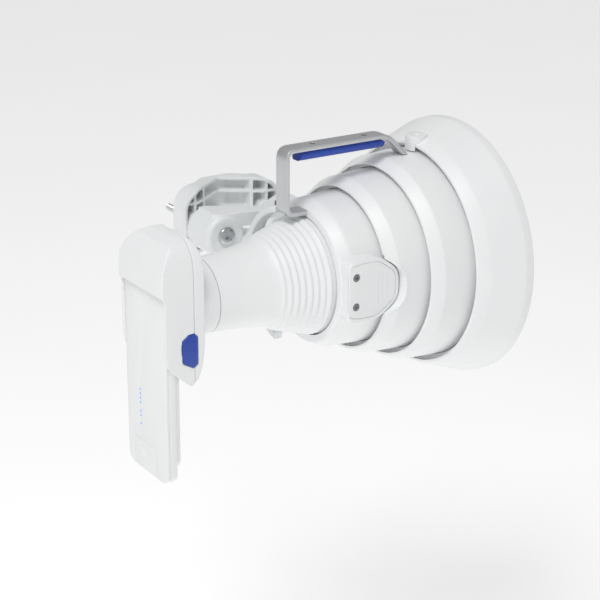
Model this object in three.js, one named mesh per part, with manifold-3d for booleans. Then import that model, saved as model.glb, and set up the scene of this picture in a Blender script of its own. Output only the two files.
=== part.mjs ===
// Outdoor wireless bridge: a slab radio in a latched cradle behind a stepped horn, carried by a
// half-ring yoke on a two-jaw pole clamp. Millimetres, +Z up along the pole, +X the way the horn
// points, +Y from the horn to the pole. The origin is on the pole's axis, level with the bolts.
import * as THREE from 'three';
import { mergeVertices } from 'three/addons/utils/BufferGeometryUtils.js';
import Module from 'manifold-3d';

const wasm = await Module();
wasm.setup();

// ---- driving dimensions ----
const GAP = 0.3;                 // clearance between touching pieces
const POLE_RADIUS = 36;
const BOLT_X = 48;               // clamp bolts, each side of the pole
const BOLT_RADIUS = 4;           // M8
const BOLT_TIP_Y = 78;
const WASHER = 1.6;               // thickness of the M8 washers
const JAW = { front: -55, back: -10, radius: 25, z: -1.5 };
const V_HALF_ANGLE = THREE.MathUtils.degToRad(55);
const V_APEX = POLE_RADIUS / Math.sin(V_HALF_ANGLE);
const PLATE = { low: 8, high: 24 };
const PIVOT = { x: 9, y: -51, radius: 4.5, head: 6 };
const PIVOT_HEAD_HEIGHT = 2;
const LOCK = { x: 20, y: -57, head: 5, headHeight: 6, shank: 3 };
const REAR_JAW = { half: 64, low: -41, high: 37, front: 10, ends: 38, back: 53, wall: 4, corner: 26 };
const REAR_ARCH = { foot: 36, top: 18 };   // half widths of the arch round the pole

const HORN_Y = -172;             // horn axis
const HORN_Z = -15;
const YOKE = { rear: -48.6, front: -27.8, inner: 70.2, outer: 77.5, taper: 0.15, end: 16 };
const ELEVATION_X = -38;
const ARM = { low: -6, high: PLATE.low - 0.6 };
const ARM_SCREW = { x: -19, y: -75.5 };
const NECK_PROFILE = [[-147.4, 39.7], [-128, 40.7], [-106.7, 42.6], [-87.4, 45.5], [-80.5, 47.4]];
const RIPPLES = { start: -80.5, count: 8, pitch: 6.8, height: 1.8, from: 47.4, to: 64 };
const NECK_END = { x: -11.8, radius: 67.8 };
const NECK_WALL = 3;
const RING_X = [-23.5, 23, 69.5, 116];
const RING_R = [74.6, 91, 107.5, 124.9];
const MOUTH = { x: 176, radius: 145.3, wideX: 166 };
const RADOME = { back: 168.5, radius: 141.8, rim: 177, front: 181.2 };
const RING_WALL = 2.6;
const BAND = { length: 12.6, rise: 6.8 };
const WALL_RISE = 2.9;
const RING_LAP = 15.5;
const SEGMENTS = 40;

const COVER = { rear: -22.5, front: 36, z: -12, half: 27, mid: 30, tip: 14, plane: 87.2, depth: 2.4 };
const COVER_FRAME = 5;           // how far the frame reaches past the cover's outline
const COVER_POCKET = 6;          // the second ring's clearance round that frame
const HANDLE = { width: 19.4, thickness: 4.8, foot: 56, top: 124.9, back: -48.2, footEnd: 2.5 };
const HANDLE_BEND = { x: 79, z: 123 };
const HANDLE_TIP = { x: 112, z: 92 };
const GRIP = { from: -28, to: 74, height: 10, width: 17 };
const PAD = { x: 124, radius: 12.5, top: 118.5, hole: 4.2 };

const RADIO = { face: -216.2, half: 42.6, top: 24, bottom: -200, corner: 13.5 };
const COVER_BACK = -212.4;
const BASE_BACK = -203.6;
const HOUSING_BACK = -198.4;
const HOUSING_BOTTOM = -183.6;
const CRADLE_HALF = 46.5;
const PARTING_X = -182.8;
const CRADLE_BACK = -170.8;
const CAP_LIP_Z = 6.2;
const DOOR = { y: HORN_Y + 5.3, half: 21.8, top: -166 };
const LED_Y = HORN_Y + 11.5;
const LED_Z = [-108.5, -113.5, -118.5, -123.5, -133.5, -138.5, -147.7];

// ---- materials ----
const finish = (color, roughness, metalness) => () =>
  new THREE.MeshStandardMaterial({ color, roughness, metalness });
const whitePolymer = finish('#eceeee', 0.5, 0);
const whiteCasting = finish('#e9ebeb', 0.55, 0.1);
const bluePolymer = finish('#2f4ba0', 0.45, 0);
const satinAluminium = finish('#c6c7c8', 0.35, 0.9);
const zincSteel = finish('#9b9d9f', 0.35, 0.9);
const darkRubber = finish('#2b2c2e', 0.8, 0);
const boardGreen = finish('#1f5a3a', 0.5, 0);
const clearLens = finish('#58a6ff', 0.2, 0);
const whiteRadome = finish('#e4e6e6', 0.6, 0);

// ---- solid helpers ----
function solid(geometry) {
  const bare = geometry.clone();
  bare.deleteAttribute('normal');
  bare.deleteAttribute('uv');
  const merged = mergeVertices(bare, 1e-3);
  const index = merged.index.array;
  const places = merged.attributes.position.array;
  const kept = [];
  let volume = 0;
  const at = (i) => new THREE.Vector3().fromArray(places, 3 * i);
  for (let i = 0; i < index.length; i += 3) {
    const [a, b, c] = [index[i], index[i + 1], index[i + 2]];
    if (a === b || b === c || a === c) continue;
    kept.push(a, b, c);
    volume += at(a).dot(at(b).cross(at(c)));
  }
  if (volume < 0) kept.reverse();
  const triVerts = new Uint32Array(kept);
  const vertProperties = new Float32Array(places);
  return new wasm.Manifold(new wasm.Mesh({ numProp: 3, vertProperties, triVerts }));
}

function geometryOf(body) {
  const mesh = body.getMesh();
  const places = new Float32Array((mesh.vertProperties.length / mesh.numProp) * 3);
  for (let i = 0; i < places.length / 3; i += 1) {
    for (let k = 0; k < 3; k += 1) places[3 * i + k] = mesh.vertProperties[i * mesh.numProp + k];
  }
  const geometry = new THREE.BufferGeometry();
  geometry.setAttribute('position', new THREE.BufferAttribute(places, 3));
  geometry.setIndex(new THREE.BufferAttribute(new Uint32Array(mesh.triVerts), 1));
  return geometry;
}

const join = (first, ...rest) => rest.reduce((a, b) => a.add(b), first);
const cut = (first, ...rest) => rest.reduce((a, b) => a.subtract(b), first);

function box(x0, x1, y0, y1, z0, z1) {
  const geometry = new THREE.BoxGeometry(x1 - x0, y1 - y0, z1 - z0);
  geometry.translate((x0 + x1) / 2, (y0 + y1) / 2, (z0 + z1) / 2);
  return solid(geometry);
}

// A cylinder, or a cone where the radii differ, from one point to another.
function rod(from, to, radius, sides = 20, endRadius = radius) {
  const start = new THREE.Vector3(...from);
  const along = new THREE.Vector3(...to).sub(start);
  const geometry = new THREE.CylinderGeometry(endRadius, radius, along.length(), sides);
  geometry.translate(0, along.length() / 2, 0);
  const up = new THREE.Vector3(0, 1, 0);
  geometry.applyQuaternion(new THREE.Quaternion().setFromUnitVectors(up, along.normalize()));
  geometry.translate(start.x, start.y, start.z);
  return solid(geometry);
}

function outline(points) {
  return new THREE.Shape(points.map(([u, v]) => new THREE.Vector2(u, v)));
}

// An outline in X and Z, made into a slab from one Y to another.
function slabAlongY(shape, y0, y1, curveSegments = 6) {
  const geometry = new THREE.ExtrudeGeometry(shape, { depth: y1 - y0, bevelEnabled: false, curveSegments });
  geometry.rotateX(Math.PI / 2);
  geometry.translate(0, y1, 0);
  return solid(geometry);
}

// An outline in X and Y, made into a slab from one Z to another.
function slabAlongZ(shape, z0, z1, curveSegments = 6) {
  const geometry = new THREE.ExtrudeGeometry(shape, { depth: z1 - z0, bevelEnabled: false, curveSegments });
  geometry.translate(0, 0, z0);
  return solid(geometry);
}

// An outline in Y and Z, made into a slab from one X to another.
function slabAlongX(shape, x0, x1, curveSegments = 6) {
  const geometry = new THREE.ExtrudeGeometry(shape, { depth: x1 - x0, bevelEnabled: false, curveSegments });
  geometry.rotateX(Math.PI / 2);
  geometry.rotateZ(Math.PI / 2);
  geometry.translate(x0, 0, 0);
  return solid(geometry);
}

function roundedRectangle(u0, u1, v0, v1, r) {
  const shape = new THREE.Shape();
  shape.moveTo(u0 + r, v0);
  shape.lineTo(u1 - r, v0);
  shape.absarc(u1 - r, v0 + r, r, -Math.PI / 2, 0);
  shape.lineTo(u1, v1 - r);
  shape.absarc(u1 - r, v1 - r, r, 0, Math.PI / 2);
  shape.lineTo(u0 + r, v1);
  shape.absarc(u0 + r, v1 - r, r, Math.PI / 2, Math.PI);
  shape.lineTo(u0, v0 + r);
  shape.absarc(u0 + r, v0 + r, r, Math.PI, 1.5 * Math.PI);
  return shape;
}

// A turned piece about the horn's axis, from a closed profile of [x, radius] points.
function turned(profile, segments = SEGMENTS) {
  const closed = profile.map(([x, r]) => new THREE.Vector2(r, x));
  if (profile[0][1] > 0) closed.push(closed[0].clone());
  const geometry = new THREE.LatheGeometry(closed, segments);
  geometry.rotateZ(-Math.PI / 2);
  geometry.translate(0, HORN_Y, HORN_Z);
  return solid(geometry);
}

const group = new THREE.Group();
function place(name, body, material) {
  const mesh = new THREE.Mesh(geometryOf(body), material());
  mesh.name = name;
  group.add(mesh);
}

// ---- pole clamp ----
// The room that a V jaw leaves for the pole, on the side given by sign.
function vNotch(sign) {
  const edge = V_APEX * Math.tan(V_HALF_ANGLE);
  return slabAlongZ(outline([[0, sign * V_APEX], [-edge, 0], [edge, 0]]), -60, 60);
}

const BOLTS = [['left', -BOLT_X], ['right', BOLT_X]];
const boltHole = (x) => rod([x, -80, 0], [x, 80, 0], BOLT_RADIUS + 0.4);

function frontJaw() {
  const { front, back, radius, z } = JAW;
  const chamfer = 4;
  const above = PLATE.high + 6;
  const lobe = (x) => join(
    rod([x, front + chamfer, z], [x, back, z], radius, 36),
    rod([x, front, z], [x, front + chamfer + 0.01, z], radius - chamfer, 36, radius));
  const plate = slabAlongZ(outline([[-48, -22], [-62, -44], [-50, -52], [-24, -55], [0, -60], [14, -64],
    [26, -62], [32, -55], [50, -52], [62, -44], [48, -22]]), PLATE.low, PLATE.high);
  const web = (x0, x1) => box(x0, x1, -50, back, z - 14, PLATE.high);
  const body = join(lobe(-BOLT_X), lobe(BOLT_X), web(-58, -30), web(30, 58), plate);
  const trimmed = cut(body, box(-90, 90, -90, 90, PLATE.high, 60));
  const pin = rod([PIVOT.x, PIVOT.y, 0], [PIVOT.x, PIVOT.y, above], PIVOT.radius + GAP);
  const headSeat = PLATE.high - PIVOT_HEAD_HEIGHT - GAP;
  const pinHead = rod([PIVOT.x, PIVOT.y, headSeat], [PIVOT.x, PIVOT.y, above], PIVOT.head + GAP);
  const lock = rod([LOCK.x, LOCK.y, 0], [LOCK.x, LOCK.y, above], LOCK.shank + GAP);
  return cut(trimmed, vNotch(-1), ...BOLTS.map(([, x]) => boltHole(x)), pin, pinHead, lock);
}

function carriageBolt(x) {
  const seat = JAW.front - GAP;
  const head = rod([x, seat - 2, 0], [x, seat, 0], 10.3, 28);
  const dome = rod([x, seat - 5, 0], [x, seat - 2, 0], 5.6, 28, 10.3);
  const shank = rod([x, seat - 1, 0], [x, BOLT_TIP_Y, 0], BOLT_RADIUS, 16);
  return join(head, dome, shank);
}

// A socket cap screw standing upright.
function capScrew(x, y, headLow, headHigh, tip, headRadius, shankRadius) {
  const head = rod([x, y, headLow], [x, y, headHigh], headRadius, 20);
  const shank = rod([x, y, tip], [x, y, headLow + 0.5], shankRadius, 14);
  const socket = rod([x, y, headHigh - headRadius * 0.6], [x, y, headHigh + 1], headRadius * 0.5, 6);
  return cut(join(head, shank), socket);
}

place('front_jaw', frontJaw(), whiteCasting);
for (const [side, x] of BOLTS) place(`carriage_bolt_${side}`, carriageBolt(x), zincSteel);
place('pivot_pin', join(
  rod([PIVOT.x, PIVOT.y, ARM.low - 1], [PIVOT.x, PIVOT.y, PLATE.high - 1], PIVOT.radius),
  rod([PIVOT.x, PIVOT.y, PLATE.high - PIVOT_HEAD_HEIGHT], [PIVOT.x, PIVOT.y, PLATE.high], PIVOT.head)),
  whiteCasting);
place('azimuth_lock_screw', capScrew(LOCK.x, LOCK.y, PLATE.high + GAP, PLATE.high + GAP + LOCK.headHeight,
  PLATE.low + 0.5, LOCK.head, LOCK.shank), zincSteel);

// The rear jaw seen from above: level behind the bolts, and arched back round the pole between them.
function rearJawPlan(inset) {
  const { half, front, ends, back } = REAR_JAW;
  const { foot, top } = REAR_ARCH;
  const right = [[half - inset, front - 2], [half - inset, ends - inset], [foot - inset / 2, ends - inset],
    [top - inset / 2, back - inset]];
  return outline([...right, ...right.map(([x, y]) => [-x, y]).reverse()]);
}

function rearJaw() {
  const { half, low, high, front, ends, back, wall, corner } = REAR_JAW;
  const rib = 1.6;
  const face = (inset) => roundedRectangle(-half + inset, half - inset, low + inset, high - inset,
    corner - inset);
  const block = (inset, y0) => slabAlongY(face(inset), y0, back - inset)
    .intersect(slabAlongZ(rearJawPlan(inset), low, high));
  const tray = cut(block(0, front), block(wall, front - 1));
  const shelves = [-24, 0, 20].map((z) => box(-half + 2, half - 2, front + 3, back - 1, z - rib, z + rib));
  const posts = [-BOLT_X, -32, 32, BOLT_X].map((x) => box(x - rib, x + rib, front + 3, back - 1,
    low + 2, high - 2));
  const ribs = join(...shelves, ...posts).intersect(block(1, front));
  const bosses = BOLTS.map(([, x]) => rod([x, front + 4, 0], [x, ends, 0], 9));
  const body = join(tray, ribs, ...bosses);
  return cut(body, vNotch(1), ...BOLTS.map(([, x]) => boltHole(x)));
}

function washer(x) {
  const y = REAR_JAW.ends + GAP;
  return cut(rod([x, y, 0], [x, y + WASHER, 0], 8, 24), boltHole(x));
}

function hexNut(x) {
  const y = REAR_JAW.ends + 2 * GAP + WASHER;
  const hexagon = rod([x, y, 0], [x, y + 6.5, 0], 7.5, 6);
  return cut(hexagon, rod([x, y - 1, 0], [x, y + 8, 0], BOLT_RADIUS + 0.1, 16));
}

place('rear_jaw', rearJaw(), whiteCasting);
for (const [side, x] of BOLTS) {
  place(`washer_${side}`, washer(x), zincSteel);
  place(`nut_${side}`, hexNut(x), zincSteel);
}

// ---- yoke ----
// The far half of a ring round the neck, narrower towards its ends, with an arm back to the pivot pin.
function yoke() {
  const { rear, front, inner, outer, taper, end } = YOKE;
  const ring = turned([[rear, inner], [rear, outer], [front, outer], [front, inner]]);
  const reach = 90;
  const sideView = slabAlongY(outline([[rear - 1, HORN_Z - reach], [front - reach * taper, HORN_Z - reach],
    [front, HORN_Z], [front - reach * taper, HORN_Z + reach], [rear - 1, HORN_Z + reach]]),
  HORN_Y + end, HORN_Y + 100);
  const arm = slabAlongZ(outline([[rear, -104], [rear, -92], [-30, -70], [2, -43.5], [9, -42.5], [15, -44.5],
    [17.5, -51], [14, -58], [-6, -72], [-12, -83], [-28.5, -84], [-28.5, -104]]), ARM.low, ARM.high);
  const rib = box(-28, -24, -80, -68, ARM.low - 6, ARM.low + 1);
  const neckRoom = turned([[-90, 0], [-90, inner], [20, inner], [20, 0]]);
  const bore = rod([ARM_SCREW.x, ARM_SCREW.y, -30], [ARM_SCREW.x, ARM_SCREW.y, 30], BOLT_RADIUS + GAP);
  const pin = rod([PIVOT.x, PIVOT.y, -30], [PIVOT.x, PIVOT.y, 30], PIVOT.radius + GAP);
  const bolt = rod([ELEVATION_X, HORN_Y + 60, HORN_Z], [ELEVATION_X, HORN_Y + 90, HORN_Z], BOLT_RADIUS + GAP);
  return cut(join(ring.intersect(sideView), arm, rib), neckRoom, bore, pin, bolt);
}

function elevationBolt() {
  const y = HORN_Y + YOKE.outer + GAP;
  const head = rod([ELEVATION_X, y, HORN_Z], [ELEVATION_X, y + 6, HORN_Z], 6.5, 20);
  const shank = rod([ELEVATION_X, HORN_Y + 64, HORN_Z], [ELEVATION_X, y + 1, HORN_Z], BOLT_RADIUS, 16);
  const socket = rod([ELEVATION_X, y + 3, HORN_Z], [ELEVATION_X, y + 8, HORN_Z], 3.4, 6);
  return cut(join(head, shank), socket);
}

const ARM_SCREW_SEAT = ARM.high + GAP;
place('yoke', yoke(), whiteCasting);
place('elevation_bolt', elevationBolt(), zincSteel);
place('yoke_screw_washer', cut(
  rod([ARM_SCREW.x, ARM_SCREW.y, ARM_SCREW_SEAT], [ARM_SCREW.x, ARM_SCREW.y, ARM_SCREW_SEAT + WASHER],
    7.8, 24),
  rod([ARM_SCREW.x, ARM_SCREW.y, 0], [ARM_SCREW.x, ARM_SCREW.y, 30], BOLT_RADIUS + GAP)), zincSteel);
const ARM_HEAD_SEAT = ARM_SCREW_SEAT + WASHER + GAP;
place('yoke_screw', capScrew(ARM_SCREW.x, ARM_SCREW.y, ARM_HEAD_SEAT, ARM_HEAD_SEAT + 7.9, ARM.low - 2, 6.5,
  BOLT_RADIUS), zincSteel);

// ---- horn ----
function neck() {
  const smooth = NECK_PROFILE;
  const tail = [[RIPPLES.start + RIPPLES.count * RIPPLES.pitch, RIPPLES.to], [NECK_END.x, NECK_END.radius]];
  const outer = smooth.slice(0, -1);
  for (let i = 0; i < RIPPLES.count; i += 1) {
    const x = RIPPLES.start + i * RIPPLES.pitch;
    const r = RIPPLES.from + ((RIPPLES.to - RIPPLES.from) * i) / RIPPLES.count;
    outer.push([x, r], [x + RIPPLES.pitch * 0.5, r + RIPPLES.height + 1]);
  }
  outer.push(...tail);
  const inner = [...smooth, ...tail].map(([x, r]) => [x, r - NECK_WALL]).reverse();
  const at = (d) => [ELEVATION_X, HORN_Y + d, HORN_Z];
  const boss = rod(at(56), at(YOKE.inner - 1.4), 11, 24);
  const hole = rod(at(63), at(90), BOLT_RADIUS + GAP);
  return cut(join(turned([...outer, ...inner]), boss), hole);
}

// A stepped ring: a rear lip, a sloping band, a wide wall, and a web down to the piece inside it.
function ringProfile(i) {
  const x = RING_X[i];
  const r = RING_R[i];
  const last = i === RING_X.length - 1;
  const endX = last ? MOUTH.x : RING_X[i + 1] + RING_LAP;
  const endR = last ? MOUTH.radius : r + BAND.rise + WALL_RISE;
  const innerR = (i === 0 ? NECK_END.radius : RING_R[i - 1] + BAND.rise + WALL_RISE) + GAP;
  const web = x + BAND.length - 2;
  return [
    [x, r - RING_WALL], [x, r - 0.8], [x + 1, r], [x + BAND.length, r + BAND.rise],
    ...(last ? [[MOUTH.wideX, MOUTH.radius - 0.4]] : []),
    [endX, endR], [endX, endR - RING_WALL],
    ...(last ? [[MOUTH.wideX, MOUTH.radius - 0.5 - RING_WALL]] : []),
    [web + 5, r + BAND.rise - RING_WALL],
    [web + 2.5, r + BAND.rise - 1 - RING_WALL], [web + 2.5, innerR], [web, innerR], [web, r + 3 - RING_WALL],
  ];
}

// The side cover's outline seen from the side: square at the back, cut corners at the front.
function coverShape(grow) {
  const { rear, front, z, half, mid, tip } = COVER;
  return outline([[rear, z - half - grow], [rear + 14, z - mid - grow], [front - 22, z - mid - grow],
    [front + grow, z - tip - grow * 0.5], [front + grow, z + tip + grow * 0.5], [front - 22, z + mid + grow],
    [rear + 14, z + mid + grow], [rear, z + half + grow]]);
}

function coverSlab(side, grow, near, far) {
  const ys = [HORN_Y + side * near, HORN_Y + side * far].sort((a, b) => a - b);
  return slabAlongY(coverShape(grow), ys[0], ys[1]);
}

const SIDES = [['near', -1], ['far', 1]];
const COVER_SCREWS = [['low', COVER.z - 16], ['high', COVER.z + 16]];
const SCREW_X = COVER.rear + 9;

// The seat for the handle's foot, let into the top of the first ring.
function footSeat(grow, low) {
  const half = HANDLE.width / 2 + grow;
  const front = HANDLE.footEnd + grow;
  return box(RING_X[0] - 5, front, HORN_Y - half, HORN_Y + half, low, 90);
}

function ring(i) {
  let body = turned(ringProfile(i));
  if (i === 0) {
    const inside = turned([[-60, 0], [-60, 71.5], [-10, 78], [80, 80], [80, 0]]);
    for (const [, side] of SIDES) {
      body = join(body, cut(coverSlab(side, COVER_FRAME, 60, COVER.plane), inside));
      body = cut(body, coverSlab(side, GAP, COVER.plane - COVER.depth - GAP, COVER.plane + 20));
      for (const [, z] of COVER_SCREWS) {
        const at = (d) => [SCREW_X, HORN_Y + side * d, z];
        body = cut(body, rod(at(70), at(100), 1.6 + GAP, 12));
      }
    }
    const seatTop = HANDLE.foot - HANDLE.thickness / 2 - GAP;
    const blockHalf = HANDLE.width / 2 + 2.5;
    const blockFront = HANDLE.footEnd + 3;
    const block = turned([[-10.5, 0], [-10.5, 81], [blockFront, 82.5], [blockFront, 0]])
      .intersect(box(-11, 8, HORN_Y - blockHalf, HORN_Y + blockHalf, seatTop - 2.5, 90));
    body = cut(join(body, block), footSeat(GAP, seatTop));
  }
  if (i === 1) {
    const [x, r] = [RING_X[1], RING_R[1]];
    const bandEnd = [x + BAND.length, r + BAND.rise];
    const skin = turned([[x, 0], [x, r], bandEnd, [85, r + BAND.rise + WALL_RISE], [85, 0]]);
    for (const [, side] of SIDES) {
      const pocketWall = coverSlab(side, COVER_POCKET + 3, COVER.plane - 4, 130).intersect(skin);
      body = cut(join(body, pocketWall), coverSlab(side, COVER_POCKET, 40, 130));
    }
  }
  return body;
}

function sideCover(side) {
  const slab = coverSlab(side, 0, COVER.plane - COVER.depth, COVER.plane);
  const at = (d, z) => [SCREW_X, HORN_Y + side * d, z];
  return cut(slab, ...COVER_SCREWS.map(([, z]) => rod(at(70, z), at(100, z), 4 + GAP, 20)));
}

function coverScrew(side, z) {
  const at = (d) => [SCREW_X, HORN_Y + side * d, z];
  const head = rod(at(COVER.plane - COVER.depth + 0.1), at(COVER.plane - 0.2), 4, 20);
  const shank = rod(at(COVER.plane - COVER.depth - 4), at(COVER.plane - 1), 1.6, 12);
  const socket = rod(at(COVER.plane - 1.4), at(COVER.plane + 1), 1.8, 6);
  return cut(join(head, shank), socket);
}

place('neck', neck(), whitePolymer);
RING_X.forEach((_, i) => place(`ring_${i + 1}`, ring(i), whitePolymer));
place('radome', turned([[RADOME.back, 0], [RADOME.back, RADOME.radius], [RADOME.rim, RADOME.radius],
  [179, 110], [180.6, 55], [RADOME.front, 0]]), whiteRadome);
place('radome_gasket', turned([[164.5, 136], [164.5, 140.8], [168.2, 141.4], [168.2, 136]]), darkRubber);
for (const [name, side] of SIDES) {
  place(`side_cover_${name}`, sideCover(side), whitePolymer);
  for (const [level, z] of COVER_SCREWS) {
    place(`cover_screw_${name}_${level}`, coverScrew(side, z), zincSteel);
  }
}
place('throat_collar', turned([[CRADLE_BACK + GAP, 29], [CRADLE_BACK + GAP, 43], [-166, 40.4], [-147.7, 39.7],
  [-147.7, 34.5], [-166, 29]]), whitePolymer);
place('waveguide_feed', turned([[-174, 17], [-174, 27.5], [-170.3, 27.5], [-150, 28], [-122, 35], [-122, 33],
  [-150, 25.5], [-168, 17]], 24), satinAluminium);

// ---- handle ----
// A flat bar bent in the plane of X and Z: a line through the corners, rounded, with the bar's thickness.
function bentStrip(corners, radius, thickness) {
  const points = corners.map(([x, z]) => new THREE.Vector2(x, z));
  const line = [points[0]];
  for (let i = 1; i < points.length - 1; i += 1) {
    const before = points[i - 1].clone().sub(points[i]).normalize();
    const after = points[i + 1].clone().sub(points[i]).normalize();
    const start = points[i].clone().addScaledVector(before, radius);
    const end = points[i].clone().addScaledVector(after, radius);
    line.push(...new THREE.QuadraticBezierCurve(start, points[i], end).getPoints(6));
  }
  line.push(points[points.length - 1]);
  const sideOf = (sign) => line.map((p, i) => {
    const along = line[Math.min(line.length - 1, i + 1)].clone().sub(line[Math.max(0, i - 1)]).normalize();
    return [p.x - (sign * along.y * thickness) / 2, p.y + (sign * along.x * thickness) / 2];
  });
  return outline([...sideOf(1), ...sideOf(-1).reverse()]);
}

const GRIP_SCREWS = [['rear', -11.8], ['front', 54]];
const BAR_TOP = HANDLE.top + HANDLE.thickness / 2;
function handleBar() {
  const { width, thickness, foot, top, back, footEnd } = HANDLE;
  const shape = bentStrip([[footEnd, foot], [back, foot], [back, top], [HANDLE_BEND.x, top],
    [HANDLE_TIP.x, HANDLE_TIP.z]], 10, thickness);
  const bar = slabAlongY(shape, HORN_Y - width / 2, HORN_Y + width / 2);
  const bores = GRIP_SCREWS.map(([, x]) => rod([x, HORN_Y, top - 8], [x, HORN_Y, BAR_TOP + 4],
    2.8 + GAP, 16));
  const ringRoom = turned([[69, 0], [69, 108.3], [82.5, 115], [140, 119.5], [140, 0]], 96);
  return cut(bar, ...bores, ringRoom);
}

function handleGrip() {
  const top = HANDLE.top - HANDLE.thickness / 2 - GAP;
  const section = roundedRectangle(HORN_Y - GRIP.width / 2, HORN_Y + GRIP.width / 2, top - GRIP.height,
    top, 5);
  const ends = outline([[GRIP.from, top], [GRIP.from - 5, top - GRIP.height], [GRIP.to, top - GRIP.height],
    [GRIP.to + 2, top - 4], [GRIP.to - 3, top]]);
  const grip = slabAlongX(section, GRIP.from - 10, GRIP.to + 10, 4)
    .intersect(slabAlongY(ends, HORN_Y - 20, HORN_Y + 20));
  const at = (x, z) => [x, HORN_Y, z];
  return cut(grip, ...GRIP_SCREWS.map(([, x]) => rod(at(x, top - 8), at(x, top + 4), 1.5 + GAP, 12)));
}

function gripScrew(x) {
  const head = rod([x, HORN_Y, BAR_TOP - 2.4], [x, HORN_Y, BAR_TOP - 0.1], 2.8, 16);
  const shank = rod([x, HORN_Y, HANDLE.top - 9], [x, HORN_Y, BAR_TOP - 1], 1.5, 12);
  const socket = rod([x, HORN_Y, BAR_TOP - 1.3], [x, HORN_Y, BAR_TOP + 1], 1.3, 6);
  return cut(join(head, shank), socket);
}

function accessoryPad() {
  const disc = rod([PAD.x, HORN_Y, 80], [PAD.x, HORN_Y, PAD.top], PAD.radius, 32);
  const under = turned([[60, 0], [60, 117.8], [115.7, 117.8], [115.7, 125.2], [117, 125.2], [128.7, 132],
    [170, 147.5], [170, 0]], 96);
  return cut(disc, under, rod([PAD.x, HORN_Y, 116.8], [PAD.x, HORN_Y, 125], PAD.hole, 20));
}

place('handle_bar', handleBar(), satinAluminium);
place('handle_grip', handleGrip(), bluePolymer);
for (const [name, x] of GRIP_SCREWS) place(`grip_screw_${name}`, gripScrew(x), zincSteel);
place('accessory_pad', accessoryPad(), whitePolymer);

// ---- cradle ----
const CRADLE_SIDE = [[-219.1, CAP_LIP_Z], [-219.1, 20], [-217.8, 34], [-212, 46], [-203, 55.5], [-191, 60.5],
  [-181, 62.4], [-175.5, 57], [-172, 45], [CRADLE_BACK, 30], [CRADLE_BACK, -50], [-172, -62], [-175, -76],
  [-179.4, -86.7], [-187.1, -92.6], [-198, -84], [-209.4, -73.2], [-214.6, -66.5], [-216.2, -57.7],
  [-216.2, CAP_LIP_Z]];

function cradleFront() {
  const shape = new THREE.Shape();
  const [low, high] = [HORN_Y - CRADLE_HALF, HORN_Y + CRADLE_HALF];
  shape.moveTo(low, -110);
  shape.lineTo(high, -110);
  shape.lineTo(high, 26);
  shape.bezierCurveTo(high, 50, high - 14, 62.4, HORN_Y + 14, 62.4);
  shape.lineTo(HORN_Y - 14, 62.4);
  shape.bezierCurveTo(low + 14, 62.4, low, 50, low, 26);
  return shape;
}

// The latch button's outline seen from the side, grown for its window.
function buttonPrism(side, grow, near, far) {
  const g = grow;
  const shape = outline([[-183.2, -35.8 + g], [-179.4 + g, -39.8], [-179.4 + g, -68.8 - g * 0.5],
    [-184.8 + g * 0.5, -72.2 - g], [-196.6 - g, -65.5 - g * 0.7], [-197.7 - g, -49], [-196.8 - g, -41.2],
    [-190, -36.2 + g]]);
  const ys = [HORN_Y + side * near, HORN_Y + side * far].sort((a, b) => a - b);
  return slabAlongY(shape, ys[0], ys[1]);
}

function cradleBody() {
  const hull = slabAlongY(outline(CRADLE_SIDE), HORN_Y - CRADLE_HALF, HORN_Y + CRADLE_HALF)
    .intersect(slabAlongX(cradleFront(), -230, -150, 8));
  const [low, high] = [HORN_Y - RADIO.half - GAP, HORN_Y + RADIO.half + GAP];
  const slotBelow = box(-250, HOUSING_BACK + 0.7, low, high, -230, CAP_LIP_Z);
  const slotAbove = box(RADIO.face - GAP, HOUSING_BACK + 0.7, low, high, -20, RADIO.top + 1.5);
  const room = box(HOUSING_BACK, CRADLE_BACK - 3, low + 1, high - 1, -230, 38);
  const dome = box(-206, -177, HORN_Y - 30, HORN_Y + 30, 20, 50);
  const throat = rod([-190, HORN_Y, HORN_Z], [-160, HORN_Y, HORN_Z], 28, 40);
  const windows = SIDES.map(([, side]) => buttonPrism(side, 0.4, 38, 60));
  return cut(hull, slotBelow, slotAbove, room, dome, throat, ...windows);
}

const cradle = cradleBody();
const between = (x0, x1) => cradle.intersect(box(x0, x1, -300, 0, -200, 100));
place('cradle_front_shell', between(-240, PARTING_X - GAP / 2), whitePolymer);
place('cradle_rear_shell', between(PARTING_X + GAP / 2, -100), whitePolymer);
for (const [name, side] of SIDES) {
  place(`latch_button_${name}`, buttonPrism(side, 0, 43, 47.1), bluePolymer);
  const ys = [HORN_Y + side * 37.6, HORN_Y + side * 38.8].sort((a, b) => a - b);
  place(`latch_leaf_${name}`, join(box(-190, -188, ys[0], ys[1], -72, -20),
    box(-190, CRADLE_BACK - 3.3, ys[0], ys[1], -60, -46)), satinAluminium);
}

// ---- radio ----
function radioOutline(inset, bottom = RADIO.bottom) {
  return roundedRectangle(HORN_Y - RADIO.half + inset, HORN_Y + RADIO.half - inset, bottom + inset,
    RADIO.top - inset, RADIO.corner - inset);
}

function doorShape(grow) {
  const { y, half, top } = DOOR;
  return outline([[y - half - grow, -240], [y + half + grow, -240], [y + half + grow, top + grow],
    [y - half - grow, top + grow]]);
}

// The face's gentle crown: bowed from side to side, and running back a little at the bottom.
function crown() {
  const { face } = RADIO;
  const half = RADIO.half + 0.5;
  const across = [-1, -0.85, -0.6, -0.3, 0, 0.3, 0.6, 0.85, 1];
  const bow = across.map((t) => [face + 1.8 * t ** 4, HORN_Y + t * half]);
  const section = outline([...bow, [-190, HORN_Y + half], [-190, HORN_Y - half]]);
  const side = outline([[face, 40], [face, -150], [face + 0.6, -180], [face + 1.8, -201], [-190, -201],
    [-190, 40]]);
  return slabAlongZ(section, -230, 40).intersect(slabAlongY(side, HORN_Y - 60, HORN_Y + 60));
}

const faceBody = () => slabAlongX(radioOutline(0), RADIO.face - 1, COVER_BACK).intersect(crown());

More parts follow.
